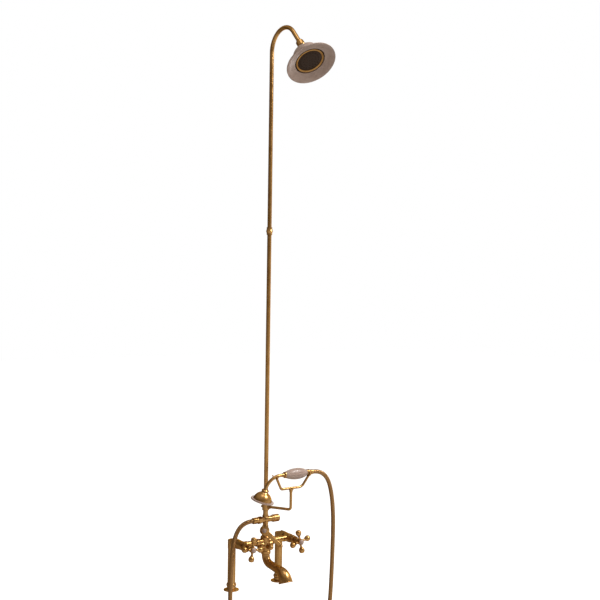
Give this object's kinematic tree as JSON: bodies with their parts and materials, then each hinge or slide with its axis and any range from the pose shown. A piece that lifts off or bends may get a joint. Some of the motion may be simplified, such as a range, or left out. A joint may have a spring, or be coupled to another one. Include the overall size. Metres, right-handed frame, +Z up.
{
  "type": "bath shower mixer",
  "caption": "Deck-mounted bath shower mixer with cross handles, spout, diverter lever, cradle with telephone handset and hose, and a tall riser with an overhead shower head.",
  "frame": {"origin": "on the deck, midway between the axes of the legs", "axes": "+Z up along the riser, +X to the right of a person facing the handles, -Y to the front, over the bath"},
  "size_m": [0.3605, 0.3428, 2.0618],
  "materials": {
    "brass": "polished, warm and slightly aged",
    "hose": "metal-sheathed flexible hose, smooth, brass colour",
    "porcelain": "glazed, opaque",
    "ceramic": "lapped ceramic, opaque",
    "spray_plate": "dark bronze, perforated",
    "rubber": "black sealing rubber"
  },
  "bodies": {
    "root": {"deck_flanges": "brass", "bead_collars": "brass", "leg_left": "brass", "leg_right": "brass", "elbows": "brass", "union_nuts": "brass", "inlet_washers": "rubber", "valve_body_left": "brass", "valve_body_right": "brass", "bonnets": "brass", "ceramic_seats": "ceramic", "tube_nuts": "brass", "cross_tube_left": "brass", "cross_tube_right": "brass", "mixer_body": "brass", "body_plug": "brass", "spout": "brass", "spout_nut": "brass", "lower_column": "brass", "diverter_nut": "brass", "tee_body": "brass", "hose_outlet_nut": "brass", "column_union": "brass", "cradle_collar": "brass", "clamp_screw": "brass", "cradle_arm": "brass", "cradle_fork": "brass", "riser_nut": "brass", "riser_lower": "brass", "riser_coupling": "brass", "riser_upper": "brass", "ball_nut": "brass", "hose": "hose"},
    "hot_handle": {"spindle_left": "brass", "ceramic_disc_left": "ceramic", "cross_handle_left": "brass", "handle_button_left": "porcelain"},
    "cold_handle": {"spindle_right": "brass", "ceramic_disc_right": "ceramic", "cross_handle_right": "brass", "handle_button_right": "porcelain"},
    "diverter": {"diverter_spindle": "brass", "diverter_lever": "brass", "lever_button": "porcelain"},
    "tee_selector": {"tee_spindle": "brass", "tee_knob": "brass"},
    "head_seat": {"ball_seat_ring": "rubber"},
    "shower_head": {"ball_stem": "brass", "head_shell": "porcelain", "head_bezel": "brass", "head_plate": "spray_plate"},
    "handset": {"front_ferrule": "brass", "handset_grip": "porcelain", "rear_ferrule": "brass", "handset_tube": "brass", "hose_tail_nut": "brass", "handset_neck": "brass", "handset_bell": "brass", "handset_rim": "porcelain", "handset_spray": "spray_plate"}
  },
  "joints": [
    {"name": "hot_turn", "type": "hinge", "parent": "root", "child": "hot_handle", "pos_m": [-0.089, -0.116, 0.15], "axis": [0, -1, 0], "range_deg": [0, 90]},
    {"name": "cold_turn", "type": "hinge", "parent": "root", "child": "cold_handle", "pos_m": [0.089, -0.116, 0.15], "axis": [0, -1, 0], "range_deg": [-90, 0]},
    {"name": "diverter_turn", "type": "hinge", "parent": "root", "child": "diverter", "pos_m": [0, -0.053, 0.19], "axis": [-0.6428, -0.766, 0], "range_deg": [0, 90]},
    {"name": "tee_knob_turn", "type": "hinge", "parent": "root", "child": "tee_selector", "pos_m": [0, -0.053, 0.219], "axis": [1, 0, 0], "range_deg": [0, 90]},
    {"name": "head_side_tilt", "type": "hinge", "parent": "root", "child": "head_seat", "pos_m": [0, -0.20926, 1.66492], "axis": [0, -0.7547, 0.6561], "range_deg": [-10, 10]},
    {"name": "head_tilt", "type": "hinge", "parent": "head_seat", "child": "shower_head", "pos_m": [0, -0.20926, 1.66492], "axis": [1, 0, 0], "range_deg": [-10, 10]},
    {"name": "handset_lift", "type": "slide", "parent": "root", "child": "handset", "axis": [0, 0, 1], "range_m": [0, 0.06], "deforming": ["hose"]}
  ]
}
